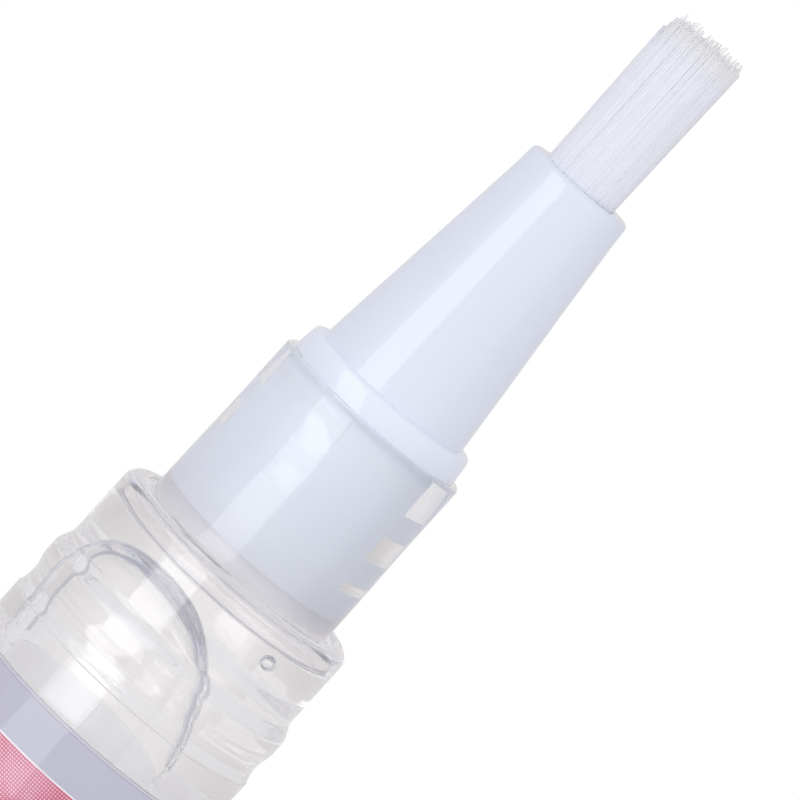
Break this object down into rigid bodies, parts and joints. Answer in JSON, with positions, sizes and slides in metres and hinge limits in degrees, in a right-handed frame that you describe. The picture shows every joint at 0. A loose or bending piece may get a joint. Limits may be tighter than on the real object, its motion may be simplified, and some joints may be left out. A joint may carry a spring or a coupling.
{
  "type": "brush pen",
  "caption": "Clear twist pen for gel remover: ribbed plug and cone with a nylon brush, neck with cap bead, screw-driven piston and a twist knob.",
  "frame": {"origin": "centre of the twist knob's flat end face, on which the pen stands", "axes": "+Z along the pen's axis, from the knob's end to the bristles; the label's seam faces +Y"},
  "size_m": [0.0132, 0.0132, 0.138],
  "materials": {
    "clear_plastic": "clear, polished",
    "gel": "clear gel",
    "white_plastic": "satin, slightly bluish white",
    "natural_plastic": "natural, unfilled",
    "nylon": "fine white filaments",
    "label_film": "glossy printed film",
    "rubber": "clear silicone",
    "spring_steel": "drawn wire"
  },
  "bodies": {
    "barrel": {"clear_barrel": "clear_plastic", "label": "label_film", "gel_column": "gel", "neck_gel": "gel", "collar_plug": "white_plastic", "brush_cone": "white_plastic", "tuft_retainer": "white_plastic", "feed_tube": "natural_plastic", "bristle_tuft": "nylon", "drive_nut": "natural_plastic", "ratchet_ring": "natural_plastic", "barrel_bush": "white_plastic"},
    "knob": {"twist_knob": "white_plastic", "drive_sleeve": "natural_plastic", "ratchet_crown": "natural_plastic", "click_spring": "spring_steel"},
    "rod": {"screw_rod": "natural_plastic"},
    "piston": {"piston": "white_plastic", "piston_front_seal": "rubber", "piston_rear_seal": "rubber"}
  },
  "joints": [
    {"name": "knob_turn", "type": "hinge", "parent": "barrel", "child": "knob", "pos_m": [0, 0, 0], "axis": [0, 0, 1], "range_deg": [0, 5760]},
    {"name": "rod_feed", "type": "slide", "parent": "knob", "child": "rod", "axis": [0, 0, 1], "range_m": [0, 0.04]},
    {"name": "piston_feed", "type": "slide", "parent": "barrel", "child": "piston", "axis": [0, 0, 1], "range_m": [0, 0.04], "deforming": ["gel_column"]}
  ],
  "couplings": [
    {"joint": "knob_turn", "follows": "piston_feed", "rad_per_m": 2513.3},
    {"joint": "rod_feed", "follows": "piston_feed", "ratio": 1}
  ]
}
